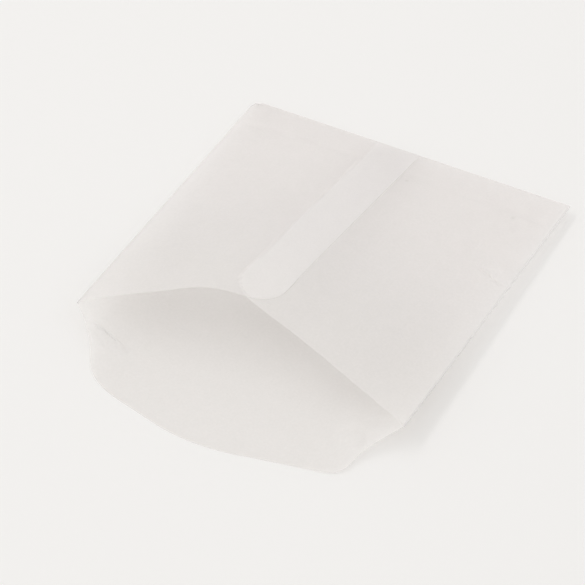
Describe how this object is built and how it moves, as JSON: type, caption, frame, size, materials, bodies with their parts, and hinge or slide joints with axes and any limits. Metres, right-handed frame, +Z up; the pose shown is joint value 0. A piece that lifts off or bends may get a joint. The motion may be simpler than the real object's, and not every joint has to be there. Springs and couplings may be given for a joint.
{
  "type": "glassine envelope",
  "caption": "Small square glassine envelope, folded from one sheet of thin translucent paper with a centre lap seam, lying open and bulged with its closing flap out",
  "frame": {"origin": "On the table surface, under the middle of the whole outline with the closing flap laid out", "axes": "X runs across the envelope, +Y from the closing flap to the closed end, +Z up from the table through the seam side"},
  "size_m": [0.1016, 0.13, 0.0205],
  "materials": {
    "glassine": "thin translucent white supercalendered paper, smooth with a soft sheen"
  },
  "bodies": {
    "root": {"envelope": "glassine"}
  },
  "joints": []
}
